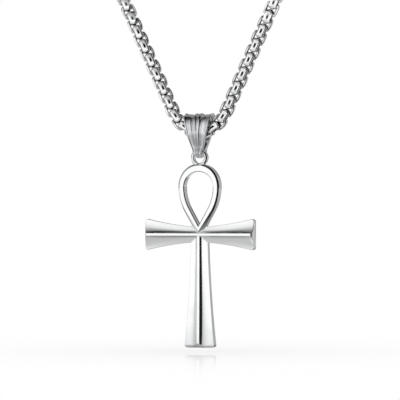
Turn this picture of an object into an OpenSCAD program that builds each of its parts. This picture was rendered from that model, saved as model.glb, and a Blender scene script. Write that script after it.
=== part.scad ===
// Ankh pendant with its bail, on a closed round box chain. The origin is the middle of the neck loop.
// Z is up and the front of the pendant faces -Y.

/* [Cross] */
// Width over the two arms
arm_span = 28.8; // [24:0.2:34]
// Length from the middle of the crossing to the foot
stem_len = 28.5; // [24:0.5:36]
// Width of an arm where it leaves the crossing
arm_root_w = 4.1; // [3.4:0.1:5]
// Width of an arm at its end
arm_end_w = 7.8; // [6:0.1:10]
// Width of the stem where it leaves the crossing
stem_root_w = 4.5; // [3.6:0.1:5.4]
// Width of the foot
foot_w = 7.8; // [6:0.1:10]
// Width of the flat band along the ridges
ridge_w = 0.6; // [0.3:0.05:1]
// Thickness at the crossing and all round the eye
mid_t = 2.6; // [2.2:0.1:3.4]
// Thickness at the ends of the arms and at the foot
end_t = 3.2; // [2.6:0.1:4]
// Drop from the ridge to the edge at the crossing
mid_drop = 0.9; // [0.5:0.05:1.2]
// Drop from the ridge to the edge at the ends
end_drop = 1.25; // [0.6:0.05:1.6]
// Length of the slope that closes a ridge at an arm's end
end_slope = 0.6; // [0.4:0.05:1.6]
// Length of the slope that closes the ridge at the foot
foot_slope = 0.9; // [0.4:0.05:1.6]
// Radius of the corners at the ends
corner_r = 0.7; // [0.2:0.05:1]

/* [Eye] */
// Width of the drop-shaped opening
eye_w = 7.55; // [6.8:0.05:8.4]
// Height of the opening
eye_h = 13.48; // [12.8:0.02:15]
// Height of the opening's tip over the middle of the crossing
eye_base = 2.3; // [1.8:0.1:3]
// Width of the rim at the opening's sides
rim_w = 1.66; // [1.4:0.02:2.2]
// Width of the rim over the opening's top
rim_top_w = 2.1; // [1.7:0.02:2.6]
// Width of the rim's flat front at the sides
rim_face_w = 1.15; // [0.9:0.05:1.3]
// Width of the rim's flat front where it runs into the crossing
rim_low_face_w = 0.6; // [0.4:0.05:0.9]
// Drop of the slope outside the rim's front, at the sides and over the top
rim_drop = 0.45; // [0.2:0.05:0.8]
// Bevel between the rim's front and the opening
rim_bevel = 0.25; // [0.1:0.05:0.3]

/* [Ring on the top] */
// Radius of the ring's hole
ring_hole_r = 1.35; // [1.25:0.05:1.6]
// Thickness of the ring's wall
ring_wall = 0.8; // [0.6:0.05:1]
// Depth of the ring from front to back
ring_d = 2; // [1.4:0.1:2.2]
// How far the ring's hole clears the rim
ring_lift = 0.1; // [0.04:0.02:0.3]

/* [Bail] */
// Width of the bail at its crest
bail_w = 7.2; // [6:0.1:9]
// Width of the bail's foot, in front of the ring
bail_foot_w = 2.1; // [1.4:0.1:3]
// Width of the bail's tip, inside the ring
bail_tip_w = 0.95; // [0.7:0.05:1.1]
// Height of the opening inside the bail
bail_inner_h = 9.1; // [8.9:0.1:10.2]
// Half the depth of the opening where the chain passes
bail_inner_r = 2.35; // [2.3:0.05:2.8]
// Thickness of the bail's metal in its grooves
bail_wall = 0.5; // [0.4:0.05:0.8]
// Thickness of the soldered tip inside the ring
bail_tip_t = 1.25; // [0.9:0.05:1.3]
// Height of the middle flute and the edges over the grooves
flute_h = 0.5; // [0.2:0.05:0.7]
// Width of the back leaf as a share of the front leaf
back_share = 0.88; // [0.7:0.02:1]

/* [Chain] */
// Width of the loop that goes round the neck
neck_w = 126.5; // [110:0.1:140]
// Width of the chain across its links
chain_d = 3.8; // [3:0.1:3.9]
// Angle of the two strands from the vertical
strand_angle = 24.9; // [18:0.1:30]
// Radius of the bend where the chain carries the bail
cradle_r = 6.8; // [6.8:0.1:9]
// Radius of the wider bend beside it
shoulder_r = 12; // [10:0.5:20]
// Radius of the bend where a strand turns round the neck
turn_r = 14; // [10:0.5:25]

/* [Clasp] */
// Length of the clasp with its eyes
clasp_len = 22; // [16:0.5:30]
// Width of the clasp's body
clasp_w = 4.6; // [4:0.1:6]
// Thickness of the clasp's body
clasp_t = 2.6; // [2:0.1:3.4]
// Radius of the hole in each eye of the clasp
clasp_hole_r = 1.2; // [0.9:0.05:1.5]
// Thickness of an eye's wall
clasp_wall = 0.7; // [0.5:0.05:0.9]
// Depth of an eye
clasp_eye_t = 1.3; // [0.8:0.1:1.8]

/* [Fits] */
// Gap between the bail and the ring that it goes through
ring_gap = 0.2; // [0.15:0.01:0.3]
// Gap between the bail's crest and the chain inside it
crest_gap = 0.2; // [0.1:0.01:0.4]
// Gap between an end of the chain and the clasp
clasp_gap = 0.2; // [0.1:0.05:0.5]

/* [Hidden] */
$fn = 48;

// Shapes along a limb: shares of its length, from the crossing to where its corner rounding starts
FLARE_STEPS = [0, 0.12, 0.26, 0.4, 0.54, 0.68, 0.82, 0.92];
// How much of a limb's flare is curved, the rest being straight
FLARE_BOW = 0.55;
// Where the hollow of a slope bends, as shares of the slope's width and drop
COVE = [0.3, 0.58];
// How far the slopes at the ends reach below the edges beside them
END_UNDER = 0.06;
// Half the angle between the eye's two sides at its tip
EYE_TIP_ANGLE = 29;
// Steps of the rim along each side and over each half of the top
SIDE_STEPS = 6;
TOP_STEPS = 14;
// Side of the blocks that cut the cross and the eye, larger than either
BLOCK = 60;

// Bevel of the top ring's four edges as a share of its wall
RING_BEVEL = 0.2;

// The bail's side, from its tip up to the level of its axis: shares of the height over the ring's top
LEAF_STEPS = [0, 0.15, 0.3, 0.45, 0.6, 0.8, 1];
// Share of that height over which the two leaves part
PART_SPAN = 0.8;
// Radius of the two bends at the foot of the bail's opening
FOOT_R = 0.45;
// Shares of the opening's height over which the tip thins to the wall and the flutes rise
THIN_SPAN = 0.09;
FLUTE_SPAN = [0.03, 0.33];
// How the leaf's edges bow between its foot and its crest
LEAF_BOW = 0.92;
// Points across the bail, as shares of its half width
ACROSS = [-1, -0.9, -0.76, -0.62, -0.5, -0.38, -0.25, -0.12, 0, 0.12, 0.25, 0.38, 0.5, 0.62, 0.76, 0.9, 1];
// Where the grooves lie, as a share of the half width
GROOVE_AT = 0.5;
// How the middle flute falls to its grooves and how the surface rises from them to the edges
FLUTE_FALL = 2.5;
EDGE_RISE = 1.2;

// Rings of the chain's outer shape along half of its cradle, a shoulder, a strand, a turn and half the nape
CHAIN_STEPS = [4, 2, 12, 5, 10];
// Sides of that shape
CHAIN_SIDES = 10;

function unit(v) = v / norm(v);
function lerp(a, b, t) = a + (b - a) * t;
function smooth(t) = let (c = max(0, min(1, t))) c * c * (3 - 2 * c);

// One solid through a list of outlines that all have as many points, each given in space
module loft(sections, closed = false) {
    n = len(sections[0]);
    count = len(sections);
    spans = closed ? count : count - 1;
    walls = [
        for (i = [0 : spans - 1], j = [0 : n - 1])
            let (k = (i + 1) % count, m = (j + 1) % n)
                each [[i * n + j, i * n + m, k * n + m], [i * n + j, k * n + m, k * n + j]]
    ];
    caps = closed ? [] : [[for (j = [n - 1 : -1 : 0]) j], [for (j = [0 : n - 1]) (count - 1) * n + j]];
    polyhedron(points = [for (s = sections) each s], faces = concat(walls, caps));
}

// The cross: flared limbs with a flat ridge, hollow slopes, upright edges and a flat back.

// A limb's outline across its length, as [offset from the ridge, height over the middle plane]
function limb_section(half, t, drop) =
    let (
        r = ridge_w / 2,
        bend = r + COVE[0] * (half - r),
        top = t / 2
    )
    [
        [-half, -top], [-half, top - drop], [-bend, top - COVE[1] * drop], [-r, top],
        [r, top], [bend, top - COVE[1] * drop], [half, top - drop], [half, -top]
    ];

function flare(u) = (1 - FLARE_BOW) * u + FLARE_BOW * u * u;

// One limb's steps, as [distance from the crossing, half width, thickness, drop]
function limb_steps(length, root_w, end_w) =
    let (
        start = root_w / 2,
        reach = length - start - corner_r
    )
    [
        for (u = concat(FLARE_STEPS, [1]))
            [start + u * reach, lerp(root_w, end_w, flare(u)) / 2,
             lerp(mid_t, end_t, u * u), lerp(mid_drop, end_drop, u)],
        [length - 0.3 * corner_r, end_w / 2 - 0.3 * corner_r, end_t, end_drop],
        [length, end_w / 2 - corner_r, end_t, end_drop]
    ];

module cross_arms() {
    side = limb_steps(arm_span / 2, arm_root_w, arm_end_w);
    count = len(side);
    steps = concat(
        [for (i = [count - 1 : -1 : 0]) [-side[i][0], side[i][1], side[i][2], side[i][3]]],
        side
    );
    loft([for (s = steps) [for (p = limb_section(s[1], s[2], s[3])) [s[0], -p[1], p[0]]]]);
}

module cross_stem() {
    side = limb_steps(stem_len, stem_root_w, foot_w);
    steps = concat([[0, stem_root_w / 2, mid_t, mid_drop]], side);
    loft([for (s = steps) [for (p = limb_section(s[1], s[2], s[3])) [p[0], -p[1], -s[0]]]]);
}

// The block above the slope that closes a ridge, for a limb that runs along +X. It is twice as wide as the
// limb's end, so that the three blocks stay clear of each other.
module end_block(length, slope_len, end_w) {
    translate([length - slope_len, -end_t / 2, 0])
        rotate([0, 0, atan((end_drop + END_UNDER) / slope_len)])
            translate([0, -BLOCK, -end_w])
                cube([BLOCK, BLOCK, 2 * end_w]);
}

module cross_limbs() {
    difference() {
        union() {
            cross_arms();
            cross_stem();
        }
        end_block(arm_span / 2, end_slope, arm_end_w);
        mirror([1, 0, 0]) end_block(arm_span / 2, end_slope, arm_end_w);
        rotate([0, 90, 0]) end_block(stem_len, foot_slope, foot_w);
    }
}

// The eye: a half turn over the top, two wide bends and two straight legs that meet at the tip.

eye_r = eye_w / 2;
eye_side_h = eye_h - eye_r;
eye_side_r = (eye_side_h * sin(EYE_TIP_ANGLE) - eye_r * cos(EYE_TIP_ANGLE)) / (1 - cos(EYE_TIP_ANGLE));
eye_leg = (eye_side_h - eye_side_r * sin(EYE_TIP_ANGLE)) / cos(EYE_TIP_ANGLE);
eye_mid_z = eye_base + eye_side_h;
eye_top_z = eye_mid_z + eye_r + rim_top_w;

// The rim's outline, as [distance out from the opening, height over the middle plane]
function rim_section(width, face, drop) =
    [
        [0, -mid_t / 2], [0, mid_t / 2 - rim_bevel], [rim_bevel, mid_t / 2],
        [face, mid_t / 2], [width, mid_t / 2 - drop], [width, -mid_t / 2]
    ];

// One step of the rim, from a point on the opening's edge and the angle of its outward side. The rim grows
// wider over the top.
function rim_step(point, angle, face, drop) =
    let (extra = (rim_top_w - rim_w) * pow(max(0, sin(angle)), 2))
    [for (p = rim_section(rim_w + extra, face + extra, drop))
        [point[0] + p[0] * cos(angle), -p[1], point[1] + p[0] * sin(angle)]];

// The right half of the rim, from the top down to the crossing, cut off at the middle plane and at the
// arms' ridge
module eye_side() {
    a = EYE_TIP_ANGLE;
    side = [eye_r - eye_side_r, eye_mid_z];
    over = eye_base / cos(a);
    intersection() {
        loft(concat(
            [for (i = [TOP_STEPS : -1 : 1])
                let (t = 90 * i / TOP_STEPS)
                rim_step([i == TOP_STEPS ? 0 : eye_r * cos(t), eye_mid_z + eye_r * sin(t)], t,
                         rim_face_w, rim_drop)],
            [for (i = [0 : SIDE_STEPS])
                let (t = -a * i / SIDE_STEPS)
                rim_step(side + eye_side_r * [cos(t), sin(t)], t, rim_face_w, rim_drop)],
            [rim_step([-over * sin(a), eye_base - over * cos(a)], -a, rim_low_face_w, mid_drop)]
        ));
        translate([0, -BLOCK / 2, 0]) cube(BLOCK);
    }
}

// The ring on the eye's top, its hole facing front to back
ring_z = eye_top_z + ring_lift + ring_hole_r;
ring_edge = RING_BEVEL * ring_wall;

module top_ring() {
    w = ring_wall;
    d = ring_d / 2;
    e = ring_edge;
    translate([0, 0, ring_z])
        rotate([90, 0, 0])
            rotate_extrude()
                translate([ring_hole_r, 0])
                    polygon([[0, e - d], [e, -d], [w - e, -d], [w, e - d], [w, d - e], [w - e, d], [e, d], [0, d - e]]);
}

// The bail: a closed strip that runs round its side view, with flutes across its outer face.

bail_low_z = ring_z + ring_hole_r - ring_gap;
bail_axis_z = bail_low_z + bail_inner_h - bail_inner_r;
bail_throat = ring_d / 2 + ring_gap;
ring_top_z = ring_z + ring_hole_r + ring_wall;

// The opening's edge for y >= 0, from the tip up to the crest, as [y, z]
function bail_inside() =
    let (straight = ring_top_z + ring_gap)
    concat(
        [[0, bail_low_z]],
        [for (a = [-90, -45, 0]) [bail_throat + FOOT_R * (cos(a) - 1), bail_low_z + FOOT_R * (sin(a) + 1)]],
        [for (u = LEAF_STEPS)
            [lerp(bail_throat, bail_inner_r, smooth(u / PART_SPAN)), lerp(straight, bail_axis_z, u)]],
        [for (a = [15 : 15 : 90]) [bail_inner_r * cos(a), bail_axis_z + bail_inner_r * sin(a)]]
    );

// The whole edge, once round, back leaf first
function bail_round() =
    let (half = bail_inside(), n = len(half))
    concat(half, [for (i = [n - 2 : -1 : 1]) [-half[i][0], half[i][1]]]);

function bail_rise(z) = max(0, min(1, (z - bail_low_z) / bail_inner_h));

// Half the width at a point of the path: a tapered leaf, narrowed where it goes through the ring
function bail_half_w(y, z) =
    let (
        u = bail_rise(z),
        back = smooth(y / bail_throat) * smooth(3 * (1 - u)),
        leaf = lerp(bail_foot_w, bail_w * lerp(1, back_share, back), pow(u, LEAF_BOW)),
        in_ring = 1 - smooth((z - bail_low_z) / FOOT_R)
    )
    lerp(leaf, bail_tip_w, in_ring) / 2;

// Height of the flutes over the grooves at a share of the half width
function flute(x) =
    let (a = abs(x))
    a < GROOVE_AT ? 1 - pow(a / GROOVE_AT, FLUTE_FALL) : pow((a - GROOVE_AT) / (1 - GROOVE_AT), EDGE_RISE);

function bail_section(path, i) =
    let (
        n = len(path),
        p = path[i],
        along = unit(path[(i + 1) % n] - path[(i + n - 1) % n]),
        out = [along[1], -along[0]],
        u = bail_rise(p[1]),
        half = bail_half_w(p[0], p[1]),
        wall = lerp(bail_tip_t, bail_wall, smooth(u / THIN_SPAN)),
        rise = flute_h * smooth((u - FLUTE_SPAN[0]) / (FLUTE_SPAN[1] - FLUTE_SPAN[0]))
    )
    concat(
        [for (x = ACROSS) let (o = p + out * (wall + rise * flute(x))) [x * half, o[0], o[1]]],
        [for (x = [1, 0.34, -0.34, -1]) [x * half, p[0], p[1]]]
    );

module bail_body() {
    path = bail_round();
    loft([for (i = [0 : len(path) - 1]) bail_section(path, i)], closed = true);
}

// The chain: its outer shape along a route that runs from the cradle under the bail's crest, up a strand,
// through a turn at the side of the neck and round the nape.

chain_r = chain_d / 2;
strand_rise = 90 - strand_angle;
// Slope where the cradle gives way to the shoulder
cradle_rise = 45;
cradle_len = cradle_r * cradle_rise * PI / 180;
shoulder_len = shoulder_r * (strand_rise - cradle_rise) * PI / 180;
turn_len = turn_r * PI / 2;
strand_dir = [sin(strand_angle), 0, cos(strand_angle)];
cradle_top = cradle_r * [sin(cradle_rise), 0, 1 - cos(cradle_rise)];
shoulder_top = cradle_top
    + shoulder_r * [sin(strand_rise) - sin(cradle_rise), 0, cos(cradle_rise) - cos(strand_rise)];
// A strand is as long as it takes to reach the neck's width
nape_r = neck_w / 2;
strand_len = (nape_r - shoulder_top[0]) / strand_dir[0] - turn_r;
strand_top = shoulder_top + strand_len * strand_dir;
turn_end = strand_top + turn_r * (strand_dir + [0, 1, 0]);

// Length along the route where each stretch ends, and where the chain itself ends
shoulder_at = cradle_len;
strand_at = shoulder_at + shoulder_len;
turn_at = strand_at + strand_len;
nape_at = turn_at + turn_len;
necklace_len = 2 * (nape_at + nape_r * PI / 2);
clasp_at = (necklace_len - clasp_len) / 2;
chain_end = clasp_at - clasp_gap;

// A point on a bend that starts level: turned by an angle, at a radius
function bend(r, angle) = r * [sin(angle), 0, 1 - cos(angle)];

// Place and direction at a length along the right half of the route, from the middle of the cradle
function route(s) =
    s < shoulder_at ?
        let (a = s / cradle_r * 180 / PI)
        [bend(cradle_r, a), [cos(a), 0, sin(a)]]
    : s < strand_at ?
        let (a = cradle_rise + (s - shoulder_at) / shoulder_r * 180 / PI)
        [cradle_top + bend(shoulder_r, a) - bend(shoulder_r, cradle_rise), [cos(a), 0, sin(a)]]
    : s < turn_at ?
        [shoulder_top + (s - strand_at) * strand_dir, strand_dir]
    : s < nape_at ?
        let (a = (s - turn_at) / turn_r * 180 / PI)
        [strand_top + turn_r * (sin(a) * strand_dir + (1 - cos(a)) * [0, 1, 0]),
         cos(a) * strand_dir + sin(a) * [0, 1, 0]]
    :
        let (a = (s - nape_at) / nape_r * 180 / PI)
        [[nape_r * cos(a), turn_end[1] + nape_r * sin(a), turn_end[2]], [-sin(a), cos(a), 0]];

// Lengths along the right half of the route where the rings lie
function ring_places() =
    let (ends = [0, shoulder_at, strand_at, turn_at, nape_at, chain_end])
    concat([0], [for (k = [0 : len(CHAIN_STEPS) - 1], j = [1 : CHAIN_STEPS[k]])
        lerp(ends[k], ends[k + 1], j / CHAIN_STEPS[k])]);

// The rings from place k on, their first side carried along the route without turning about it
function chain_rings(places, k, side) =
    k == len(places) ? [] :
    let (
        here = route(places[k]),
        first = unit(side - (side * here[1]) * here[1]),
        second = cross(first, here[1])
    )
    concat(
        [[for (j = [0 : CHAIN_SIDES - 1])
            let (a = 360 * j / CHAIN_SIDES)
            here[0] + chain_r * (cos(a) * first + sin(a) * second)]],
        chain_rings(places, k + 1, first)
    );

module chain_body() {
    right = chain_rings(ring_places(), 0, [0, -1, 0]);
    left = [for (k = [len(right) - 1 : -1 : 1]) [for (p = right[k]) [-p[0], p[1], p[2]]]];
    loft(concat(left, right));
}

// The clasp: an eye for the chain at each end, and a rounded body between them

module clasp_eye(x) {
    translate([x, 0, -clasp_eye_t / 2])
        difference() {
            cylinder(r = clasp_hole_r + clasp_wall, h = clasp_eye_t);
            translate([0, 0, -clasp_eye_t]) cylinder(r = clasp_hole_r, h = 3 * clasp_eye_t);
        }
}

module clasp_body() {
    eye = route(clasp_at + clasp_hole_r + clasp_wall)[0];
    r = clasp_w / 2;
    middle = eye[0] - clasp_hole_r - clasp_wall / 2 - r;
    translate([0, eye[1], eye[2]])
        rotate([90, 0, 0]) {
            clasp_eye(eye[0]);
            clasp_eye(-eye[0]);
            translate([0, 0, -clasp_t / 2]) {
                translate([middle, 0, 0]) cylinder(r = r, h = clasp_t);
                translate([-middle, 0, 0]) cylinder(r = r, h = clasp_t);
                translate([-middle, -r, 0]) cube([2 * middle, clasp_w, clasp_t]);
            }
        }
}

// Where the pieces lie: the chain's upper side meets the bail's crest at the bail's two edges
crest_z = bail_low_z + bail_inner_h;
cradle_z = crest_z - crest_gap - cradle_r + sqrt(pow(cradle_r - chain_r, 2) - pow(bail_w / 2, 2));
drop = turn_end[2] + cradle_z;
back = turn_end[1];

module ankh() {
    color("silver") translate([0, -back, -drop]) {
        cross_limbs();
        eye_side();
        mirror([1, 0, 0]) eye_side();
        top_ring();
    }
}

module bail() {
    color("darkgray") translate([0, -back, -drop]) bail_body();
}

module chain() {
    color("lightgray") translate([0, -back, cradle_z - drop]) chain_body();
}

module clasp() {
    color("gray") translate([0, -back, cradle_z - drop]) clasp_body();
}

ankh();
bail();
chain();
clasp();
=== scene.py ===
import bpy
import bmesh
import math
from mathutils import Vector, Matrix


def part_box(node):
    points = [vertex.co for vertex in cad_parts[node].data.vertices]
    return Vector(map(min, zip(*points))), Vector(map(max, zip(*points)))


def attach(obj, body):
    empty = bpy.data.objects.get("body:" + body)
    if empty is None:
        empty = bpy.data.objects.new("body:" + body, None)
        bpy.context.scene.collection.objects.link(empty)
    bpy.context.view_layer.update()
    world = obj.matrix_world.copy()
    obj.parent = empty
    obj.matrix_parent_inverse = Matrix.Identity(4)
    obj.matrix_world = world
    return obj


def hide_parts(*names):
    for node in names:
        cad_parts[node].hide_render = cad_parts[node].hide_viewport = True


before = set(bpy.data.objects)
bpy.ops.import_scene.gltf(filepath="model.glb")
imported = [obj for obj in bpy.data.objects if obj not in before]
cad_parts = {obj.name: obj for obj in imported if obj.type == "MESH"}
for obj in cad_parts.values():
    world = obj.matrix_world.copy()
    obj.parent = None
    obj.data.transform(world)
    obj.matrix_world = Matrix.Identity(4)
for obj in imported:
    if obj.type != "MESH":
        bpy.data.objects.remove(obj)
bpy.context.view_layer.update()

mm = 0.001

# ---- where the pendant hangs: the middle of the crossing, taken from the CAD ankh
print("places from the CAD")
ankhLow, ankhHigh = (Vector(corner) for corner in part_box("ankh"))
stemLength = 28.5
crossing = Vector((0, (ankhLow.y + ankhHigh.y) / 2, ankhLow.z + stemLength * mm))


def lerp(a, b, t):
    return a + (b - a) * t


def smooth(t):
    t = max(0.0, min(1.0, t))
    return t * t * (3 - 2 * t)


def spread(count, low=0.0, high=1.0):
    return [lerp(low, high, k / (count - 1)) for k in range(count)]


def roundCorners(points, radii, steps=4):
    # a closed outline with each corner swapped for a short bend; the point count stays the same.
    # Two bends share an edge between them, and a bend beside a sharp corner may take more of it
    out = []
    n = len(points)
    for i, (corner, radius) in enumerate(zip(points, radii)):
        corner = Vector(corner)
        if radius == 0:
            out.append(corner)
            continue
        before = Vector(points[i - 1]) - corner
        after = Vector(points[(i + 1) % n]) - corner
        room = 0.45 if radii[i - 1] and radii[(i + 1) % n] else 0.8
        reach = min(radius, before.length * room, after.length * room)
        a = corner + before.normalized() * reach
        b = corner + after.normalized() * reach
        for k in range(steps + 1):
            t = k / steps
            out.append((1 - t) ** 2 * a + 2 * t * (1 - t) * corner + t * t * b)
    return out


def skin(mesh, sections, closedAlong=False, capEnds=True):
    # a skin through outlines of equal count, added to a bmesh
    rings = [[mesh.verts.new(p) for p in section] for section in sections]
    n = len(rings[0])
    spans = len(rings) if closedAlong else len(rings) - 1
    for i in range(spans):
        here, after = rings[i], rings[(i + 1) % len(rings)]
        for j in range(n):
            k = (j + 1) % n
            mesh.faces.new((here[j], here[k], after[k], after[j]))
    if not closedAlong and capEnds:
        mesh.faces.new(list(reversed(rings[0])))
        mesh.faces.new(rings[-1])
    return rings


def cutAway(mesh, point, normal, fill=True):
    # everything on the normal's side goes
    geom = mesh.verts[:] + mesh.edges[:] + mesh.faces[:]
    cut = bmesh.ops.bisect_plane(mesh, geom=geom, plane_co=point, plane_no=normal,
                                 clear_outer=True, dist=1e-5)
    if fill:
        edges = [e for e in cut["geom_cut"] if isinstance(e, bmesh.types.BMEdge)]
        bmesh.ops.contextual_create(mesh, geom=edges)


def addInto(target, source):
    # copies one bmesh into another
    copy = bpy.data.meshes.new("part")
    source.to_mesh(copy)
    target.from_mesh(copy)
    bpy.data.meshes.remove(copy)


def makeObject(name, mesh, material, body, sharpAngle=32):
    # from millimetres round the crossing to metres in the part's frame
    bmesh.ops.recalc_face_normals(mesh, faces=mesh.faces[:])
    bmesh.ops.transform(mesh, matrix=Matrix.Translation(crossing) @ Matrix.Scale(mm, 4), verts=mesh.verts[:])
    data = bpy.data.meshes.new(name)
    mesh.to_mesh(data)
    mesh.free()
    data.polygons.foreach_set("use_smooth", [True] * len(data.polygons))
    data.set_sharp_from_angle(angle=math.radians(sharpAngle))
    data.materials.append(material)
    piece = bpy.data.objects.new(name, data)
    bpy.context.scene.collection.objects.link(piece)
    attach(piece, body)
    return piece


# ---- node helpers
def nodeGroup(name, inputs, outputs):
    group = bpy.data.node_groups.new(name, "ShaderNodeTree")
    for label, kind, default in inputs:
        group.interface.new_socket(name=label, in_out="INPUT", socket_type=kind).default_value = default
    for label, kind in outputs:
        group.interface.new_socket(name=label, in_out="OUTPUT", socket_type=kind)
    return group, group.nodes.new("NodeGroupInput"), group.nodes.new("NodeGroupOutput")


def addNode(tree, kind, **settings):
    node = tree.nodes.new(kind)
    for key, value in settings.items():
        setattr(node, key, value)
    return node


def calc(tree, operation, a, b=0.0, c=None):
    node = addNode(tree, "ShaderNodeMath", operation=operation)
    for socket, value in zip(node.inputs, (a, b) if c is None else (a, b, c)):
        if isinstance(value, (int, float)):
            socket.default_value = value
        else:
            tree.links.new(value, socket)
    return node.outputs[0]


def ramp(tree, value, low, high, start=0.0, end=1.0):
    node = addNode(tree, "ShaderNodeMapRange", interpolation_type="SMOOTHSTEP")
    tree.links.new(value, node.inputs["Value"])
    node.inputs["From Min"].default_value = low
    node.inputs["From Max"].default_value = high
    node.inputs["To Min"].default_value = start
    node.inputs["To Max"].default_value = end
    return node.outputs["Result"]


# ---- shared surface effects
print("surface effects")
surface = {
    "marksScale": 260.0, "hazeScale": 180.0, "specksScale": 4200.0,  # of the noises, per metre at size 1
    "bumpDepth": 0.02,
}


def buildPolishMarks():
    # hair-fine marks left by polishing, in two crossing directions
    tree, given, out = nodeGroup(
        "polishMarks",
        [("Size", "NodeSocketFloat", 1.0), ("Stretch", "NodeSocketFloat", 30.0)],
        [("Marks", "NodeSocketFloat")])
    place = addNode(tree, "ShaderNodeTexCoord")
    layers = []
    for turn in ((0.2, 0.4, 0.1), (0.5, -0.9, 0.8)):
        mapping = addNode(tree, "ShaderNodeMapping")
        mapping.inputs["Rotation"].default_value = turn
        tree.links.new(place.outputs["Object"], mapping.inputs["Vector"])
        stretched = addNode(tree, "ShaderNodeVectorMath", operation="MULTIPLY")
        tree.links.new(mapping.outputs[0], stretched.inputs[0])
        combine = addNode(tree, "ShaderNodeCombineXYZ")
        tree.links.new(given.outputs["Stretch"], combine.inputs["X"])
        tree.links.new(given.outputs["Stretch"], combine.inputs["Y"])
        combine.inputs["Z"].default_value = 1.0
        tree.links.new(combine.outputs[0], stretched.inputs[1])
        noise = addNode(tree, "ShaderNodeTexNoise")
        noise.inputs["Detail"].default_value = 3.0
        noise.inputs["Roughness"].default_value = 0.7
        tree.links.new(stretched.outputs[0], noise.inputs["Vector"])
        scale = calc(tree, "MULTIPLY", given.outputs["Size"], surface["marksScale"])
        tree.links.new(scale, noise.inputs["Scale"])
        layers.append(ramp(tree, noise.outputs["Fac"], 0.42, 0.66))
    tree.links.new(calc(tree, "MAXIMUM", layers[0], layers[1]), out.inputs["Marks"])
    return tree


def buildHandling():
    # soft cloudy patches where the metal has been touched and worn
    tree, given, out = nodeGroup(
        "handlingHaze",
        [("Size", "NodeSocketFloat", 1.0)],
        [("Haze", "NodeSocketFloat"), ("Specks", "NodeSocketFloat")])
    place = addNode(tree, "ShaderNodeTexCoord")
    noise = addNode(tree, "ShaderNodeTexNoise")
    noise.inputs["Detail"].default_value = 4.0
    tree.links.new(place.outputs["Object"], noise.inputs["Vector"])
    scale = calc(tree, "MULTIPLY", given.outputs["Size"], surface["hazeScale"])
    tree.links.new(scale, noise.inputs["Scale"])
    tree.links.new(ramp(tree, noise.outputs["Fac"], 0.35, 0.7), out.inputs["Haze"])
    fine = addNode(tree, "ShaderNodeTexNoise")
    fine.inputs["Detail"].default_value = 2.0
    tree.links.new(place.outputs["Object"], fine.inputs["Vector"])
    scale = calc(tree, "MULTIPLY", given.outputs["Size"], surface["specksScale"])
    tree.links.new(scale, fine.inputs["Scale"])
    tree.links.new(ramp(tree, fine.outputs["Fac"], 0.45, 0.75), out.inputs["Specks"])
    return tree


def buildCrevice():
    # painted shade where the metal nearly closes over itself
    tree, given, out = nodeGroup(
        "creviceShade",
        [("Reach", "NodeSocketFloat", 0.0004), ("Strength", "NodeSocketFloat", 1.0)],
        [("PaintedShade", "NodeSocketFloat")])
    shade = addNode(tree, "ShaderNodeAmbientOcclusion", samples=16, only_local=True)
    tree.links.new(given.outputs["Reach"], shade.inputs["Distance"])
    closed = ramp(tree, shade.outputs["AO"], 0.55, 0.15)
    tree.links.new(calc(tree, "MULTIPLY", closed, given.outputs["Strength"]), out.inputs["PaintedShade"])
    return tree


polishMarks = buildPolishMarks()
handlingHaze = buildHandling()
creviceShade = buildCrevice()


def placeGroup(tree, group, **values):
    node = addNode(tree, "ShaderNodeGroup", node_tree=group)
    for key, value in values.items():
        node.inputs[key].default_value = value
    return node


def makeSteel(name, look):
    material = bpy.data.materials.new(name)
    material.use_nodes = True
    tree = material.node_tree
    tree.nodes.clear()
    output = addNode(tree, "ShaderNodeOutputMaterial")
    shader = addNode(tree, "ShaderNodeBsdfPrincipled")
    tree.links.new(shader.outputs[0], output.inputs["Surface"])
    shader.inputs["Metallic"].default_value = 1.0
    marks = placeGroup(tree, polishMarks, Size=look["markSize"], Stretch=look["markStretch"])
    haze = placeGroup(tree, handlingHaze, Size=look["hazeSize"])
    crevice = placeGroup(tree, creviceShade, Reach=look["shadeReach"] * mm, Strength=look["shadeStrength"])

    tint = addNode(tree, "ShaderNodeMix", data_type="RGBA")
    tint.inputs["A"].default_value = look["colour"] + (1,)
    tint.inputs["B"].default_value = look["hazeColour"] + (1,)
    tree.links.new(haze.outputs["Haze"], tint.inputs["Factor"])
    # painted shade: the colour darkens in the crevices that ambient occlusion finds
    dark = addNode(tree, "ShaderNodeMix", data_type="RGBA")
    tree.links.new(tint.outputs["Result"], dark.inputs["A"])
    dark.inputs["B"].default_value = look["shadeColour"] + (1,)
    tree.links.new(crevice.outputs["PaintedShade"], dark.inputs["Factor"])
    colour = dark.outputs["Result"]
    if look.get("contactShade"):
        # painted shade in the slots and where links touch, marked on the mesh
        contactShade = addNode(tree, "ShaderNodeAttribute", attribute_name="contactShade")
        deep = addNode(tree, "ShaderNodeMix", data_type="RGBA")
        tree.links.new(colour, deep.inputs["A"])
        deep.inputs["B"].default_value = look["contactShade"] + (1,)
        tree.links.new(contactShade.outputs["Fac"], deep.inputs["Factor"])
        colour = deep.outputs["Result"]
    tree.links.new(colour, shader.inputs["Base Color"])

    rough = calc(tree, "MULTIPLY_ADD", marks.outputs["Marks"], look["markRough"], look["rough"])
    rough = calc(tree, "MULTIPLY_ADD", haze.outputs["Haze"], look["hazeRough"], rough)
    tree.links.new(rough, shader.inputs["Roughness"])

    soft = addNode(tree, "ShaderNodeBevel", samples=4)
    soft.inputs["Radius"].default_value = look["edge"] * mm
    bump = addNode(tree, "ShaderNodeBump")
    bump.inputs["Strength"].default_value = look["bump"]
    bump.inputs["Distance"].default_value = surface["bumpDepth"] * mm
    height = calc(tree, "MULTIPLY_ADD", haze.outputs["Specks"], look["speck"], marks.outputs["Marks"])
    tree.links.new(height, bump.inputs["Height"])
    tree.links.new(soft.outputs[0], bump.inputs["Normal"])
    tree.links.new(bump.outputs[0], shader.inputs["Normal"])
    return material
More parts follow.
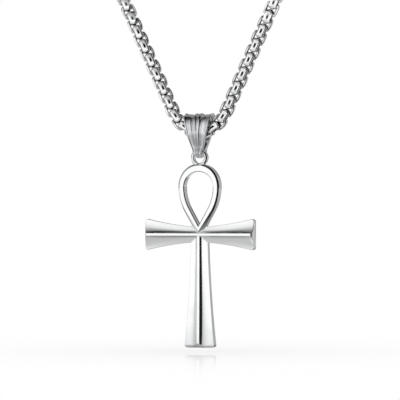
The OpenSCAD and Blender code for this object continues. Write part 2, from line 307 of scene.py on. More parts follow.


# the painted crevice shade's reach and edge are in millimetres; the rest are shares or sizes of the effects
mirrorSteel = makeSteel("mirrorSteel", {
    "colour": (0.93, 0.935, 0.94), "hazeColour": (0.9, 0.905, 0.915), "shadeColour": (0.3, 0.3, 0.31),
    "rough": 0.06, "markRough": 0.04, "hazeRough": 0.03, "markSize": 1.0, "markStretch": 24.0,
    "hazeSize": 1.0, "shadeStrength": 0.25, "shadeReach": 0.3, "edge": 0.12, "bump": 0.04, "speck": 0.2})
satinSteel = makeSteel("satinSteel", {
    "colour": (0.76, 0.765, 0.775), "hazeColour": (0.62, 0.625, 0.64), "shadeColour": (0.12, 0.12, 0.13),
    "rough": 0.12, "markRough": 0.06, "hazeRough": 0.04, "markSize": 1.6, "markStretch": 12.0,
    "hazeSize": 1.6, "shadeStrength": 0.3, "shadeReach": 0.35, "edge": 0.05, "bump": 0.05, "speck": 0.2})
# the links carry a near-black painted shade colour for their slots and the places where links touch
linkSteel = makeSteel("linkSteel", {
    "colour": (0.95, 0.955, 0.96), "hazeColour": (0.9, 0.905, 0.915), "shadeColour": (0.05, 0.05, 0.055),
    "rough": 0.1, "markRough": 0.05, "hazeRough": 0.03, "markSize": 1.4, "markStretch": 10.0,
    "hazeSize": 1.5, "shadeStrength": 0.3, "shadeReach": 0.25, "edge": 0.04, "bump": 0.04, "speck": 0.3,
    "contactShade": (0.012, 0.012, 0.013)})

# ---- the ankh: flared limbs with a flat ridge and hollow slopes, the eye's rim, and the ring on top
print("ankh")
cross = {
    "armSpan": 28.8, "armRoot": 4.1, "armEnd": 7.8, "stemRoot": 4.5, "footWidth": 7.8,
    "ridge": 0.6, "midThick": 2.6, "endThick": 3.2, "midDrop": 0.9, "endDrop": 1.25,
    "endSlope": 0.6, "footSlope": 0.9, "endUnder": 0.06, "cornerRadius": 0.7, "flareBow": 0.55,
    # at the crossing and at the end: how much of a slope's drop is near the ridge, and how near it is
    "hollow": (0.6, 0.8), "hollowBend": (6.0, 3.0),
    "edgeRadius": 0.28, "stemRootEdge": 0.6, "ridgeRadius": 0.06, "rimRadius": 0.26, "hipBlend": 0.16,
    "stemLift": 0.006,  # the stem's ridge lies over the arms' ridge
    "hipFirst": (0.55, 1.1),  # the flatter first share of an end slope, and how steep it is
}
slopePlaces = [(k / 28) ** 1.35 for k in range(2, 28)]  # across a slope, closer together by the ridge


def slopeDrop(t, along):
    # the share of the drop at a share of the way from the ridge to the side
    hollow = lerp(*cross["hollow"], along)
    return hollow * (1 - (1 - t) ** lerp(*cross["hollowBend"], along)) + (1 - hollow) * t


def softMin(a, b, blend):
    # the lower of two heights, with the crease between them rounded
    return min(a, b) - max(blend - abs(a - b), 0) ** 2 / (4 * blend)


def limbSection(half, thick, drop, along, hip, inset, edge, lift=0.0):
    # half the outline from the ridge out and down to the flat back, then the same mirrored
    ridge = cross["ridge"] / 2
    top = thick / 2 + lift
    half -= inset
    floor = top - drop - inset

    def face(height):
        # the front, no higher than the slope at the limb's end and no lower than the side's edge
        if hip is not None:
            height = softMin(height, top - hip, cross["hipBlend"])
        return max(floor, height)

    side = [(ridge * 0.5, face(top)), (ridge, face(top))]
    side += [(lerp(ridge, half, t), face(top - drop * slopeDrop(t, along))) for t in slopePlaces]
    side += [(half, floor), (half, inset - top)]
    edge = max(0.02, edge - inset)
    radii = [0, cross["ridgeRadius"]] + [0] * len(slopePlaces) + [edge, edge * 0.6]
    outline = side + [(-u, h) for u, h in reversed(side)]
    return roundCorners(outline, radii + list(reversed(radii)))


def limbSteps(length, rootWidth, endWidth, hipLength, rootEdge):
    # places along a limb with what limbSection needs there
    start = rootWidth / 2
    corner = cross["cornerRadius"]
    reach = length - start - corner
    bow = cross["flareBow"]
    rim = cross["rimRadius"]
    hipStart, fineStep = length - 1.25 * hipLength, 0.04
    places = [start + u * reach for u in spread(30)]
    places += [p for p in (hipStart + k * fineStep for k in range(60)) if p < length - rim]
    places += [length - rim * (1 - math.sin(math.radians(a))) for a in (0, 18, 36, 54, 72, 90)]
    steps = []
    for place in sorted(set(places)):
        u = min(1.0, (place - start) / reach)
        flare = (1 - bow) * u + bow * u * u
        half = lerp(rootWidth, endWidth, flare) / 2
        over = max(0.0, place - (length - corner))
        half -= corner - math.sqrt(max(0.0, corner ** 2 - over ** 2))
        past = place - (length - hipLength)
        hip = None
        if place > hipStart:  # bowed out from the CAD's flat slope
            share, steep = cross["hipFirst"]
            total = cross["endDrop"] + cross["endUnder"]
            rest = (total - steep * share * hipLength) / ((1 - share) * hipLength)
            hip = -softMin(-steep * past, rest * (hipLength - past) - total, cross["hipBlend"])
        bent = max(0.0, place - (length - rim)) / rim
        inset = rim * (1 - math.sqrt(1 - min(1.0, bent) ** 2))
        steps.append((place, (half, lerp(cross["midThick"], cross["endThick"], u * u),
                              lerp(cross["midDrop"], cross["endDrop"], u), u, hip, inset,
                              lerp(rootEdge, cross["edgeRadius"], u))))
    return steps


def buildArms():
    mesh = bmesh.new()
    side = limbSteps(cross["armSpan"] / 2, cross["armRoot"], cross["armEnd"], cross["endSlope"],
                     cross["edgeRadius"])
    steps = [(-place, values) for place, values in reversed(side)] + side
    skin(mesh, [[(place, -h, u) for u, h in limbSection(*values)] for place, values in steps])
    return mesh


def buildStem():
    mesh = bmesh.new()
    rootEdge = cross["stemRootEdge"]
    side = limbSteps(stemLength, cross["stemRoot"], cross["footWidth"], cross["footSlope"], rootEdge)
    root = (0, (cross["stemRoot"] / 2, cross["midThick"], cross["midDrop"], 0.0, None, 0.0, rootEdge))
    skin(mesh, [[(u, -h, -place) for u, h in limbSection(*values, lift=cross["stemLift"])]
                for place, values in [root] + side])
    return mesh


eye = {
    "width": 7.55, "height": 13.48, "base": 2.3, "rimWidth": 1.66, "topWidth": 2.1, "tipAngle": 29.0,
    "faceWidth": 1.15, "lowFaceWidth": 0.6, "drop": 0.45, "lowDrop": 0.9, "bevel": 0.25,
    "edgeRadius": 0.2, "creaseRadius": 0.05, "faceRadius": 0.06, "lift": 0.012,
}


def rimSection(width, face, drop):
    # outwards from the hole: its wall, a small bevel, the flat face and the outer slope
    top = cross["midThick"] / 2 + eye["lift"]
    corners = [(0, -top), (0, top - eye["bevel"]), (eye["bevel"], top), (face, top),
               (width, top - drop), (width, -top)]
    r, crease = eye["edgeRadius"], eye["creaseRadius"]
    return roundCorners(corners, [r, crease, crease, eye["faceRadius"], r, r])


def buildEye():
    mesh = bmesh.new()
    a = math.radians(eye["tipAngle"])
    radius = eye["width"] / 2
    sideHeight = eye["height"] - radius
    bend = (sideHeight * math.sin(a) - radius * math.cos(a)) / (1 - math.cos(a))
    middle = eye["base"] + sideHeight
    path = []
    for k in range(45):  # over the top, from the middle to the widest place, two degrees a step
        t = math.radians(90 - 2 * k)
        path.append(((radius * math.cos(t) if k else 0.0, middle + radius * math.sin(t)), t, 0.0))
    for k in range(27):  # the long bend down the side
        t = -a * k / 26
        path.append(((radius - bend + bend * math.cos(t), middle + bend * math.sin(t)), t, 0.0))
    over = eye["base"] / math.cos(a)
    start = Vector(path[-1][0])
    end = Vector((-over * math.sin(a), eye["base"] - over * math.cos(a)))
    for k in range(1, 17):  # the straight leg into the crossing
        path.append((start.lerp(end, k / 16), -a, k / 16))
    sections = []
    for point, t, low in path:
        extra = (eye["topWidth"] - eye["rimWidth"]) * max(0.0, math.sin(t)) ** 2
        face = lerp(eye["faceWidth"] + extra, eye["lowFaceWidth"], low)
        outline = rimSection(eye["rimWidth"] + extra, face, lerp(eye["drop"], eye["lowDrop"], low))
        sections.append([(point[0] + out * math.cos(t), -front, point[1] + out * math.sin(t))
                         for out, front in outline])
    skin(mesh, sections, capEnds=False)
    cutAway(mesh, (0, 0, 0), (-1, 0, 0), fill=False)
    cutAway(mesh, (0, 0, 0), (0, 0, -1))
    other = mesh.copy()
    bmesh.ops.transform(other, matrix=Matrix.Scale(-1, 4, (1, 0, 0)), verts=other.verts[:])
    addInto(mesh, other)
    other.free()
    bmesh.ops.remove_doubles(mesh, verts=mesh.verts[:], dist=1e-4)
    return mesh, middle + radius + eye["topWidth"]


topRing = {
    "hole": 1.35, "wall": 0.8, "depth": 2.0, "lift": 0.1, "outerBevel": 0.34, "innerBevel": 0.24,
    "soften": 0.05,
}


def buildTopRing(ringZ):
    mesh = bmesh.new()
    d = topRing["depth"] / 2
    wall, outer, inner = topRing["wall"], topRing["outerBevel"], topRing["innerBevel"]
    corners = [(0, inner - d), (inner, -d), (wall - outer, -d), (wall, outer - d),
               (wall, d - outer), (wall - outer, d), (inner, d), (0, d - inner)]
    outline = roundCorners(corners, [topRing["soften"]] * 8, 2)
    sections = []
    for k in range(72):
        t = math.radians(5 * k)
        reach = [(topRing["hole"] + out, depth) for out, depth in outline]
        sections.append([(r * math.cos(t), depth, ringZ + r * math.sin(t)) for r, depth in reach])
    skin(mesh, sections, closedAlong=True)
    return mesh


ankhMesh = buildArms()
stemMesh = buildStem()
eyeMesh, eyeTop = buildEye()
ringZ = eyeTop + topRing["lift"] + topRing["hole"]
for extra in (stemMesh, eyeMesh, buildTopRing(ringZ)):
    bmesh.ops.recalc_face_normals(extra, faces=extra.faces[:])
    addInto(ankhMesh, extra)
    extra.free()
ankh = makeObject("ankhBody", ankhMesh, mirrorSteel, "ankh")
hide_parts("ankh")

# ---- the bail: one closed strip with flutes that run together towards its tip
print("bail")
bail = {
    "width": 7.2, "footWidth": 2.1, "tipWidth": 0.95, "innerHeight": 9.1, "innerRadius": 2.35, "wall": 0.5,
    "tipThick": 1.25, "backShare": 0.88, "footRadius": 0.45, "gap": 0.2, "edgeRadius": 0.12,
    "flute": 0.49, "lowFlute": 0.85,  # how high the flutes stand at the crest, and their share at the foot
    # shares of the height: where the flutes begin and are whole, where they are highest, the thick tip's end
    "fluteRise": (0.01, 0.06), "fluteFull": 0.35, "tipEnd": 0.09,
    "widening": 0.92,  # how evenly the strip widens from its foot to its crest
    "belly": 0.8,  # the share of the leaves' height by which they are furthest apart
    # the flutes across the strip: shares of its half width, and how high each place stands
    "profile": [(-1.0, 1.0), (-0.93, 0.97), (-0.8, 0.6), (-0.62, 0.42), (-0.5, 0.4), (-0.4, 0.0),
                (-0.34, 0.1), (-0.24, 0.85), (-0.16, 0.95), (-0.09, 0.85), (-0.02, 0.45), (0.04, 0.75),
                (0.14, 1.0), (0.22, 0.92), (0.28, 0.7), (0.37, 0.0), (0.42, 0.05), (0.52, 0.4),
                (0.66, 0.4), (0.82, 0.62), (0.94, 0.98), (1.0, 1.0)],
    "creaseSoftness": 0.6,  # how round the profile's tops and bottoms are
}
bailLow = ringZ + topRing["hole"] - bail["gap"]
bailAxis = bailLow + bail["innerHeight"] - bail["innerRadius"]
throat = topRing["depth"] / 2 + bail["gap"]


def bailPath():
    # the strip's inner line, from under the ring's top up the back leaf, over the crest and down again
    leafLow = ringZ + topRing["hole"] + topRing["wall"] + bail["gap"]
    foot, bend = bail["footRadius"], bail["innerRadius"]
    half = [(0.0, bailLow), (throat * 0.35, bailLow)]
    for a in map(math.radians, (-90, -67.5, -45, -22.5, 0)):
        half.append((throat + foot * (math.cos(a) - 1), bailLow + foot * (math.sin(a) + 1)))
    for u in spread(26):
        half.append((lerp(throat, bend, smooth(u / bail["belly"])), lerp(leafLow, bailAxis, u)))
    for a in map(math.radians, range(6, 91, 6)):
        half.append((bend * math.cos(a), bailAxis + bend * math.sin(a)))
    return half + [(-y, z) for y, z in reversed(half[1:-1])]


def fluteHeight(x):
    # the profile's height at a share of the half width
    for (a, low), (b, high) in zip(bail["profile"], bail["profile"][1:]):
        if x <= b:
            t = (x - a) / (b - a)
            return lerp(low, high, lerp(t, smooth(t), bail["creaseSoftness"]))
    return bail["profile"][-1][1]


def buildBail():
    mesh = bmesh.new()
    path = bailPath()
    n = len(path)
    across = spread(101, -1, 1)
    riseFrom, riseTo = bail["fluteRise"]
    sections = []
    for i, (y, z) in enumerate(path):
        before, after = Vector(path[i - 1]), Vector(path[(i + 1) % n])
        along = (after - before).normalized()
        out = Vector((along[1], -along[0]))
        u = max(0.0, min(1.0, (z - bailLow) / bail["innerHeight"]))
        wide = bail["width"] * lerp(1, bail["backShare"], smooth(y / throat) * smooth(3 * (1 - u)))
        inRing = 1 - smooth((z - bailLow) / bail["footRadius"])
        half = lerp(lerp(bail["footWidth"], wide, u ** bail["widening"]), bail["tipWidth"], inRing) / 2
        wall = lerp(bail["tipThick"], bail["wall"], smooth(u / bail["tipEnd"]))
        risen = smooth((u - riseFrom) / (riseTo - riseFrom))
        high = bail["flute"] * lerp(bail["lowFlute"], 1, smooth(u / bail["fluteFull"])) * risen
        r = min(bail["edgeRadius"], half * 0.3)
        top = []
        for x in across:
            edge = max(0.0, (abs(x) * half - (half - r)) / r)
            low = r * (1 - math.sqrt(max(0.0, 1 - min(1.0, edge) ** 2)))
            o = Vector((y, z)) + out * (wall + high * fluteHeight(x) - low)
            top.append((x * half, o[0], o[1]))
        inner = []  # flat, with softened edges
        for x, lift in ((1, r), (1 - 0.3 * r / half, 0.3 * r), (1 - r / half, 0), (0.4, 0), (-0.4, 0),
                        (r / half - 1, 0), (0.3 * r / half - 1, 0.3 * r), (-1, r)):
            o = Vector((y, z)) + out * lift
            inner.append((x * half, o[0], o[1]))
        sections.append(top + inner)
    skin(mesh, sections, closedAlong=True)
    return mesh


bailPiece = makeObject("bailBody", buildBail(), satinSteel, "bail", sharpAngle=40)
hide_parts("bail")

# ---- the chain: round box links along the CAD tube's own route
print("chain")
chain = {
    "neckWidth": 126.5, "clasp": 22.0, "width": 3.8, "strandAngle": 24.9, "cradleRadius": 6.8,
    "cradleRise": 45.0, "shoulderRadius": 12.0, "turnRadius": 14.0, "pitch": 1.96, "crestGap": 0.2,
    "linkLength": 3.84, "linkWidth": 3.6, "capWall": 0.88, "sideWall": 0.68,
    "plate": 1.8, "band": 2.16,  # the strip's width in the middle of a link and over its ends
    "crown": (0.04, 0.26), "crownChange": (0.9, 1.7),  # the strip's curve across, and where it grows
    "roundness": 2.7, "holeSquareness": 3.6,
    "bead": (1.14, 1.74), "beadHeight": 0.12,  # the raised band over each end, measured from the middle
    "slotLength": 1.25, "slotWidth": 0.44, "slotDepth": 0.42, "slotRim": 0.05,
    "holeEdge": (0.97, 0.12), "holeFace": 0.78,  # the bevel at the hole: shares of the width, and its depth
    "contactShadeReach": 0.38, "endShade": (1.66, 1.84),  # painted shade where the neighbours are near, and at the very ends
    "turn": 5.0, "twist": 14.0, "twistLinks": 5,  # degrees: all links, and each strand after some links
    "fineLinks": 18,
}
# across a link's strip, from its middle to its edge: shares of the half width, and how deep it is rounded off
stripEdge = [(0.56, 0.0), (0.74, 0.05), (0.89, 0.16), (1.0, 0.36)]
plainEdge = [(0.94, 0.1)]


def buildRoute():
    # half of the loop: the cradle in the bail, the shoulder, the strand, the turn and a quarter of the nape
    rise = math.radians(90 - chain["strandAngle"])
    low = math.radians(chain["cradleRise"])
    cr, sh, tr = chain["cradleRadius"], chain["shoulderRadius"], chain["turnRadius"]
    strand = Vector((math.cos(rise), 0, math.sin(rise)))
    level = Vector((0, 1, 0))
    cradleTop = Vector((cr * math.sin(low), 0, cr * (1 - math.cos(low))))
    shoulderTop = cradleTop + sh * Vector((math.sin(rise) - math.sin(low), 0, math.cos(low) - math.cos(rise)))
    stops = [cr * low, cr * low + sh * (rise - low)]
    nape = chain["neckWidth"] / 2
    strandLength = (nape - shoulderTop.x) / strand.x - tr
    stops += [stops[1] + strandLength, stops[1] + strandLength + tr * math.pi / 2]
    strandTop = shoulderTop + strandLength * strand
    turnEnd = strandTop + tr * (strand + level)
    halfLength = stops[3] + nape * math.pi / 2

    def right(s):
        if s < stops[0]:
            a = s / cr
            place = Vector((cr * math.sin(a), 0, cr * (1 - math.cos(a))))
            return place, Vector((math.cos(a), 0, math.sin(a)))
        if s < stops[1]:
            a = low + (s - stops[0]) / sh
            place = cradleTop + sh * Vector((math.sin(a) - math.sin(low), 0, math.cos(low) - math.cos(a)))
            return place, Vector((math.cos(a), 0, math.sin(a)))
        if s < stops[2]:
            return shoulderTop + (s - stops[1]) * strand, strand.copy()
        if s < stops[3]:
            a = (s - stops[2]) / tr
            place = strandTop + tr * (math.sin(a) * strand + (1 - math.cos(a)) * level)
            return place, math.cos(a) * strand + math.sin(a) * level
        a = (s - stops[3]) / nape
        place = Vector((nape * math.cos(a), turnEnd.y + nape * math.sin(a), turnEnd.z))
        return place, Vector((-math.sin(a), math.cos(a), 0))

    def route(s):
        if s >= 0:
            return right(s)
        place, way = right(-s)
        return Vector((-place.x, place.y, place.z)), Vector((way.x, -way.y, -way.z))

    return route, stops, halfLength


def linkShape(fine):
    # one link round its own axis Z, the chain along X, as rings of points with their painted shade marks
    length, width = chain["linkLength"] / 2, chain["linkWidth"] / 2
    slotLong, slotWide = chain["slotLength"] / 2, chain["slotWidth"] / 2
    slotEnd = math.degrees(math.acos(slotLong / width))
    beadFrom, beadTo = chain["bead"]
    endFrom, endTo = chain["endShade"]
    crownFrom, crownTo = chain["crownChange"]
    holeShare, holeBevel = chain["holeEdge"]
    # degrees from the link's end to its middle, with a step at the slot's end
    if fine:
        quarter = [0, 12, 19, 23, 26, 29, 33, 37, 41, 45, 49, 53, 60, slotEnd - 0.5, slotEnd + 0.5, 80]
    else:
        quarter = [0, 22, 34, 44, 54, slotEnd - 0.5, slotEnd + 0.5]
    half = quarter + [90] + [180 - a for a in reversed(quarter[1:])]
    edge = stripEdge if fine else plainEdge

    def oval(c, d, x, y, power):
        # how far a squarish oval reaches in the direction c, d
        return 1 / ((c / x) ** power + (d / y) ** power) ** (1 / power)

    def contactShade(x, y, z):
        # how near a point lies to the two links that this one holds, each a quarter turn away, for the
        # painted shade there
        nearest = chain["contactShadeReach"]
        for way in (1, -1):
            u, v, w = x - way * chain["pitch"], z, y
            away = math.hypot(u, v)
            c, d = abs(u) / away, abs(v) / away
            outer = oval(c, d, length, width, chain["roundness"])
            hole = oval(c, d, length - chain["capWall"], width - chain["sideWall"], chain["holeSquareness"])
            strip = chain["band"] / 2 if outer * c > beadFrom else chain["plate"] / 2
            nearest = min(nearest, math.hypot(max(0, abs(w) - strip), max(0, away - outer, hole - away)))
        return 1 - nearest / chain["contactShadeReach"]

    rings = []
    for angle in half + [180 + a for a in half]:
        a = math.radians(angle)
        c, d = abs(math.cos(a)), abs(math.sin(a))
        outer = oval(c, d, length, width, chain["roundness"])
        hole = oval(c, d, length - chain["capWall"], width - chain["sideWall"], chain["holeSquareness"])
        along = (outer * c - beadFrom) / (beadTo - beadFrom)
        bead = math.sqrt(max(0.0, 4 * along * (1 - along)))
        wide = lerp(chain["plate"], chain["band"], min(1.0, bead * 2)) / 2
        outer += bead * chain["beadHeight"]
        inSlot = outer * c < slotLong
        deep = chain["slotDepth"] if inSlot else 0.0
        side = [(slotWide, deep, 1), (slotWide + chain["slotRim"], 0.0, 0)]
        crown = lerp(*chain["crown"], smooth((outer * c - crownFrom) / (crownTo - crownFrom)))
        side += [(wide * share, crown * share ** 2 + down, 0) for share, down in edge]
        side += [(wide * holeShare, outer - hole - holeBevel, 0), (wide * chain["holeFace"], outer - hole, 0)]
        ring = []
        for w, down, slot in [(-w, down, slot) for w, down, slot in reversed(side)] + side:
            point = ((outer - down) * math.cos(a), (outer - down) * math.sin(a), w)
            # painted shade at the link's very ends too
            atEnd = smooth((abs(point[0]) - endFrom) / (endTo - endFrom))
            ring.append((point, 1.0 if slot and inSlot else max(contactShade(*point), atEnd)))
        rings.append(ring)
    return rings


def buildChain():
    route, stops, halfLength = buildRoute()
    crest = bailLow + bail["innerHeight"]
    cradleZ = (crest - chain["crestGap"] - chain["cradleRadius"]
               + math.sqrt((chain["cradleRadius"] - chain["width"] / 2) ** 2 - (bail["width"] / 2) ** 2))
    lift = Vector((0, 0, cradleZ))
    count = int((halfLength - chain["clasp"] / 2) / chain["pitch"])
    fineShape, plainShape = linkShape(True), linkShape(False)
    verts, faces, shadeMarks = [], [], []
    for way in (1, -1):
        side = Vector((0, -1, 0))
        for k in range(0 if way == 1 else 1, count + 1):
            i = way * k
            place, along = route(i * chain["pitch"])
            side = (side - side.dot(along) * along).normalized()
            fade = 1 - smooth((k * chain["pitch"] - stops[2]) / (halfLength / 2))
            roll = (chain["turn"] - chain["twist"] * max(-1, min(1, i / chain["twistLinks"]))) * fade
            a = math.radians(roll + (90 if i % 2 == 0 else 0))
            axis = math.cos(a) * side + math.sin(a) * side.cross(along)
            third = axis.cross(along)
            rings = fineShape if k < chain["fineLinks"] else plainShape
            base = len(verts)
            n = len(rings[0])
            for ring in rings:
                for (x, y, z), mark in ring:
                    verts.append(lift + place + x * along + y * third + z * axis)
                    shadeMarks.append(float(mark))
            for r in range(len(rings)):
                after = (r + 1) % len(rings)
                for j in range(n):
                    beside = (j + 1) % n
                    faces.append([base + row * n + column for row, column in
                                  ((r, j), (r, beside), (after, beside), (after, j))])
    mesh = bmesh.new()
    # the painted shade marks, kept on the mesh for the material
    layer = mesh.verts.layers.float.new("contactShade")
    made = []
    for p, mark in zip(verts, shadeMarks):
        v = mesh.verts.new(p)
        v[layer] = mark
        made.append(v)
    for f in faces:
        mesh.faces.new([made[j] for j in f])
    print("chain triangles", 2 * len(faces))
    return mesh


chainPiece = makeObject("chainLinks", buildChain(), linkSteel, "chain", sharpAngle=38)
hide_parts("chain")

# ---- the clasp keeps its CAD shape, with softened edges
print("clasp")
claspLook = {"edge": 0.4, "segments": 4, "sharpest": 40}
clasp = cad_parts["clasp"]
clasp.data.materials.clear()
clasp.data.materials.append(mirrorSteel)
softEdges = clasp.modifiers.new("softEdges", "BEVEL")
softEdges.width = claspLook["edge"] * mm
softEdges.segments = claspLook["segments"]
softEdges.limit_method = "ANGLE"
softEdges.angle_limit = math.radians(claspLook["sharpest"])

# ---- the studio: pale floor, white surroundings with dark cards, as the polished faces mirror them
print("studio")
lens = {
    "azimuth": 18.0, "distance": 0.9, "frameWidth": 100.8, "sensor": 36,
    "aimHeight": 8.7, "aimSide": 0.05,
}
turn = math.radians(lens["azimuth"])
studio = {
    "white": 1.06,
    # brightness round the pendant: degrees from its front, growing to the right
    "round": [(-180, 0.12), (-150, 0.16), (-125, 0.28), (-97, 0.4), (-87, 0.45), (-75, 0.53), (-63, 0.66),
              (-53, 0.76), (-45, 0.83), (-35, 0.95), (-30, 1.0), (-5, 1.0), (-1, 0.92), (3, 0.88), (8, 0.84),
              (15, 0.79), (22, 0.73), (30, 0.66), (39, 0.58), (44, 0.52), (50, 0.01), (97, 0.01),
              (104, 0.12), (124, 0.16), (134, 0.8), (146, 0.8), (154, 0.42), (168, 0.4), (174, 0.14),
              (180, 0.12)],
    # brightness over the horizon, in degrees
    "over": [(-90, 1.0), (8, 1.0), (22, 0.86), (30, 0.78), (40, 0.58), (52, 0.39), (61, 0.26), (68, 0.05),
             (90, 0.03)],
    "behind": 0.33, "behindFrom": (0.1, 0.4), "behindAbove": (8, 20),  # least brightness behind, and where
    "windowAround": (-170, -154), "windowHeight": (-5, 10), "windowSoft": (2.0, 3.0),
}
ground = {
    "halfWidth": 2.5, "drop": 1.0, "gloss": 0.7, "glossReach": 0.035, "rough": 0.06,
    # brightness by the distance from the foot, in millimetres
    "away": [(0, 0.38), (10, 0.42), (25, 0.54), (80, 0.62), (130, 0.72), (200, 1.0), (600, 1.15)],
    "card": (48, 99, 4.0), "cardFoot": (0.03, 0.045), "cardDark": 0.985,  # degrees and softness, then metres
    "shades": [(116, 178, 5.0, 0.55), (-140, -66, 10.0, 0.32)],  # from and to, softness, how much darker
    "lightStrip": 0.3, "lightStripWidth": 9.0, "lightStripFrom": -0.03,  # a painted strip of light in front, towards the camera
}


def byTable(tree, value, table):
    # brightness read off a table of places, with straight stretches between them
    low, high = table[0][0], table[-1][0]
    share = addNode(tree, "ShaderNodeMapRange")
    tree.links.new(value, share.inputs["Value"])
    share.inputs["From Min"].default_value = low
    share.inputs["From Max"].default_value = high
    node = addNode(tree, "ShaderNodeFloatCurve")
    tree.links.new(share.outputs["Result"], node.inputs["Value"])
    curve = node.mapping.curves[0]
    node.mapping.clip_max_y = 2.0
    for _ in table[2:]:
        curve.points.new(0.5, 0.5)
    for point, (place, level) in zip(curve.points, table):
        point.location = ((place - low) / (high - low), level)
        point.handle_type = "VECTOR"
    node.mapping.update()
    return node.outputs["Value"]


def band(tree, value, low, high, soft):
    # one between two values, nothing outside them, with soft ends
    rising = ramp(tree, value, low - soft, low + soft)
    falling = ramp(tree, value, high - soft, high + soft, 1.0, 0.0)
    return calc(tree, "MULTIPLY", rising, falling)


def bearing(tree, x, y):
    # degrees round the pendant from the front, growing to the right
    return calc(tree, "MULTIPLY", calc(tree, "ARCTAN2", x, calc(tree, "MULTIPLY", y, -1.0)), 180 / math.pi)


def dim(tree, level, mask, amount):
    return calc(tree, "MULTIPLY", level, calc(tree, "MULTIPLY_ADD", mask, -amount, 1.0))


def buildSurroundings():
    world = bpy.data.worlds.new("studioWorld")
    bpy.context.scene.world = world
    world.use_nodes = True
    tree = world.node_tree
    tree.nodes.clear()
    place = addNode(tree, "ShaderNodeTexCoord")
    parts = addNode(tree, "ShaderNodeSeparateXYZ")
    tree.links.new(place.outputs["Generated"], parts.inputs[0])
    x, y, z = parts.outputs
    height = calc(tree, "MULTIPLY", calc(tree, "ARCSINE", z), 180 / math.pi)
    around = bearing(tree, x, y)
    level = calc(tree, "MULTIPLY", byTable(tree, around, studio["round"]),
                 byTable(tree, height, studio["over"]))
    behind = calc(tree, "MULTIPLY", ramp(tree, y, *studio["behindFrom"]),
                  ramp(tree, height, *studio["behindAbove"]))
    level = calc(tree, "MAXIMUM", level, calc(tree, "MULTIPLY", behind, studio["behind"]))
    # a white card low behind the pendant, which the floor mirrors to the camera
    softAround, softHeight = studio["windowSoft"]
    window = calc(tree, "MULTIPLY", band(tree, around, *studio["windowAround"], softAround),
                  band(tree, height, *studio["windowHeight"], softHeight))
    level = calc(tree, "MAXIMUM", level, window)
    level = calc(tree, "MULTIPLY", level, studio["white"])
    lit = addNode(tree, "ShaderNodeBackground")
    tree.links.new(level, lit.inputs["Strength"])
    seen = addNode(tree, "ShaderNodeBackground")
    seen.inputs["Strength"].default_value = 1.0
    for node in (lit, seen):
        node.inputs["Color"].default_value = (1, 1, 1, 1)
    path = addNode(tree, "ShaderNodeLightPath")
    mix = addNode(tree, "ShaderNodeMixShader")
    tree.links.new(path.outputs["Is Camera Ray"], mix.inputs["Fac"])
    tree.links.new(lit.outputs[0], mix.inputs[1])
    tree.links.new(seen.outputs[0], mix.inputs[2])
    output = addNode(tree, "ShaderNodeOutputWorld")
    tree.links.new(mix.outputs[0], output.inputs["Surface"])


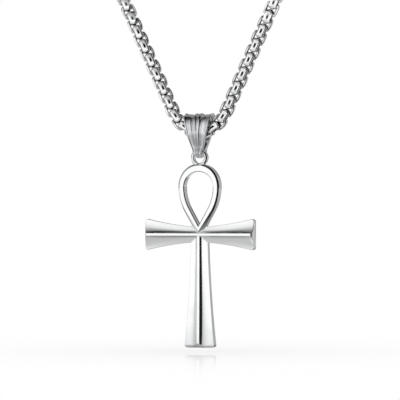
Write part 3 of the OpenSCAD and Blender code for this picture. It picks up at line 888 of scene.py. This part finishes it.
def buildFloor():
    material = bpy.data.materials.new("paleFloor")
    material.use_nodes = True
    tree = material.node_tree
    tree.nodes.clear()
    place = addNode(tree, "ShaderNodeTexCoord")
    length = addNode(tree, "ShaderNodeVectorMath", operation="LENGTH")
    tree.links.new(place.outputs["Object"], length.inputs[0])
    distance = length.outputs["Value"]
    away = calc(tree, "MULTIPLY", distance, -1 / ground["glossReach"])
    gloss = calc(tree, "MULTIPLY", calc(tree, "POWER", math.e, away), ground["gloss"])
    path = addNode(tree, "ShaderNodeLightPath")
    fromCamera = path.outputs["Is Camera Ray"]
    # what the metal mirrors: a shaded floor near the pendant, white further off, dark under the right card
    level = byTable(tree, calc(tree, "MULTIPLY", distance, 1 / mm), ground["away"])
    parts = addNode(tree, "ShaderNodeSeparateXYZ")
    tree.links.new(place.outputs["Object"], parts.inputs[0])
    east, north = parts.outputs[0], parts.outputs[1]
    around = bearing(tree, east, north)
    card = calc(tree, "MULTIPLY", band(tree, around, *ground["card"]),
                ramp(tree, distance, *ground["cardFoot"]))
    level = dim(tree, level, card, ground["cardDark"])
    for low, high, soft, amount in ground["shades"]:
        level = dim(tree, level, band(tree, around, low, high, soft), amount)
    # a painted strip of light on the floor in front, for the metal to mirror
    lightStripWidth = ground["lightStripWidth"] * mm
    side = calc(tree, "ADD", calc(tree, "MULTIPLY", east, math.cos(turn) / lightStripWidth),
                calc(tree, "MULTIPLY", north, math.sin(turn) / lightStripWidth))
    lightStrip = calc(tree, "POWER", math.e, calc(tree, "MULTIPLY", calc(tree, "MULTIPLY", side, side), -1.0))
    lightStrip = calc(tree, "MULTIPLY", lightStrip, ramp(tree, north, 0.0, ground["lightStripFrom"]))
    level = calc(tree, "ADD", level, calc(tree, "MULTIPLY", lightStrip, ground["lightStrip"]))
    seen = addNode(tree, "ShaderNodeMix", data_type="FLOAT")
    tree.links.new(fromCamera, seen.inputs["Factor"])
    tree.links.new(level, seen.inputs["A"])
    seen.inputs["B"].default_value = 1.0
    lit = addNode(tree, "ShaderNodeEmission")
    tree.links.new(seen.outputs["Result"], lit.inputs["Strength"])
    mirror = addNode(tree, "ShaderNodeBsdfAnisotropic")
    mirror.inputs["Roughness"].default_value = ground["rough"]
    mix = addNode(tree, "ShaderNodeMixShader")
    tree.links.new(calc(tree, "MULTIPLY", gloss, fromCamera), mix.inputs["Fac"])
    tree.links.new(lit.outputs[0], mix.inputs[1])
    tree.links.new(mirror.outputs[0], mix.inputs[2])
    output = addNode(tree, "ShaderNodeOutputMaterial")
    tree.links.new(mix.outputs[0], output.inputs["Surface"])
    data = bpy.data.meshes.new("floor")
    half = ground["halfWidth"]
    corners = [(-half, -half, 0), (half, -half, 0), (half, half, 0), (-half, half, 0)]
    data.from_pydata(corners, [], [(0, 1, 2, 3)])
    data.materials.append(material)
    floor = bpy.data.objects.new("floor", data)
    bpy.context.scene.collection.objects.link(floor)
    floor.location = (crossing.x, crossing.y, crossing.z - (stemLength + ground["drop"]) * mm)


buildSurroundings()
buildFloor()
bpy.context.scene.view_settings.view_transform = "Standard"

# ---- the camera, at the photograph's angle through a long lens
print("camera")
toCamera = Vector((math.sin(turn), -math.cos(turn), 0))
toRight = Vector((math.cos(turn), math.sin(turn), 0))
aim = crossing + (Vector((0, 0, lens["aimHeight"])) + toRight * lens["aimSide"]) * mm
cameraData = bpy.data.cameras.new("camera")
cameraData.sensor_width = lens["sensor"]
cameraData.lens = lens["sensor"] * lens["distance"] / (lens["frameWidth"] * mm)
cameraData.clip_start = 0.01
camera = bpy.data.objects.new("camera", cameraData)
bpy.context.scene.collection.objects.link(camera)
camera.location = aim + toCamera * lens["distance"]
camera.rotation_euler = (math.radians(90), 0, turn)
bpy.context.scene.camera = camera
